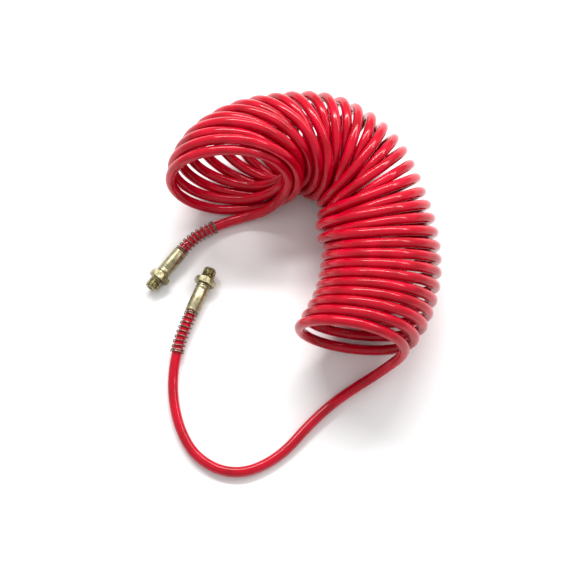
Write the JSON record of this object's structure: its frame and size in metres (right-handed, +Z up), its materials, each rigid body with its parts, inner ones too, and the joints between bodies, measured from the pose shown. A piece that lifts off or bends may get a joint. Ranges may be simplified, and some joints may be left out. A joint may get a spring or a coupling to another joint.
{
  "type": "coiled air hose",
  "caption": "Recoil air hose: a red plastic tube wound into an arch of leaning turns, with a spring guard, plain ferrule and swivelling male threaded fitting on each end.",
  "frame": {"origin": "on the resting surface, under the middle of the whole object's box", "axes": "+Z up, +Y from the hose's outlet lead towards the crown of the arch, +X towards the arch's outlet leg"},
  "size_m": [0.2891, 0.3766, 0.1315],
  "materials": {
    "hose": "glossy translucent-looking red polyamide",
    "guard": "drawn spring wire, dull",
    "ferrule": "drawn sleeve, lightly polished",
    "fitting": "turned, lightly polished",
    "seal": "moulded, matte",
    "retainer": "spring steel"
  },
  "bodies": {
    "hose": {"hose_coil": "hose", "hose_lead_inlet": "hose", "hose_lead_outlet": "hose", "spring_guard_inlet": "guard", "spring_guard_outlet": "guard", "ferrule_inlet": "ferrule", "ferrule_outlet": "ferrule", "stem_inlet": "fitting", "stem_outlet": "fitting", "o_ring_inlet": "seal", "o_ring_outlet": "seal"},
    "inlet_swivel": {"swivel_body_inlet": "fitting", "retaining_ring_inlet": "retainer"},
    "outlet_swivel": {"swivel_body_outlet": "fitting", "retaining_ring_outlet": "retainer"}
  },
  "joints": [
    {"name": "inlet_swivel_spin", "type": "hinge", "parent": "hose", "child": "inlet_swivel", "pos_m": [-0.13092, 0.01397, 0.0095], "axis": [-0.6018, -0.7986, 0], "continuous": true},
    {"name": "outlet_swivel_spin", "type": "hinge", "parent": "hose", "child": "outlet_swivel", "pos_m": [-0.08531, 0.00885, 0.0095], "axis": [0.3746, 0.9272, 0], "continuous": true}
  ]
}
